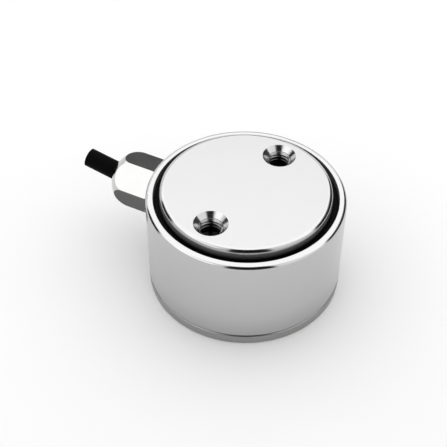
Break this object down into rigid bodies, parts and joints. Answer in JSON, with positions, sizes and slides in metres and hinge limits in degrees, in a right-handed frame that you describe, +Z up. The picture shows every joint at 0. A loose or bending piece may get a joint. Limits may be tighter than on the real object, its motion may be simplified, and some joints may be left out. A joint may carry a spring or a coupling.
{
  "type": "weighing load cell",
  "caption": "Round polished steel compression load cell with a raised load platform, threaded platform holes, a sealed groove and a hexagon cable gland on its side.",
  "frame": {"origin": "centre of the underside of the base, on the axis of the round body", "axes": "+Z up along the load axis; X through the two threaded holes of the platform; the cable leaves on the +Y side"},
  "size_m": [0.05, 0.0715, 0.0295],
  "materials": {
    "element_steel": "finely ground and polished stainless steel",
    "sleeve_steel": "polished stainless steel",
    "nut_metal": "polished, nickel plated",
    "turned_steel": "turned stainless steel",
    "screw_steel": "zinc plated steel",
    "seal_rubber": "matt black silicone",
    "bush_rubber": "matt black nitrile",
    "jacket_pvc": "matt black PVC",
    "braid": "tinned copper braid",
    "copper": "bare copper",
    "insulation_red": "satin PVC",
    "insulation_black": "satin PVC",
    "insulation_green": "satin PVC",
    "insulation_white": "satin PVC",
    "gauge_film": "amber polyimide film with metal foil",
    "board_laminate": "green solder mask on glass laminate",
    "chip_black": "thick film chip with tinned ends"
  },
  "bodies": {
    "root": {"elastic_element": "element_steel", "housing_sleeve": "sleeve_steel", "gap_seal": "seal_rubber", "cable_nipple": "turned_steel", "gland_nut": "nut_metal", "gland_bush": "bush_rubber", "gland_washer": "turned_steel", "cable_jacket": "jacket_pvc", "cable_shield": "braid", "core_red": "insulation_red", "core_black": "insulation_black", "core_green": "insulation_green", "core_white": "insulation_white", "core_conductors": "copper", "bridge_board": "board_laminate", "board_screws": "screw_steel", "zero_resistor": "chip_black", "span_resistor": "chip_black", "temperature_resistor": "chip_black", "gauge_1": "gauge_film", "gauge_leads_1": "copper", "gauge_2": "gauge_film", "gauge_leads_2": "copper", "gauge_3": "gauge_film", "gauge_leads_3": "copper", "gauge_4": "gauge_film", "gauge_leads_4": "copper"}
  },
  "joints": []
}
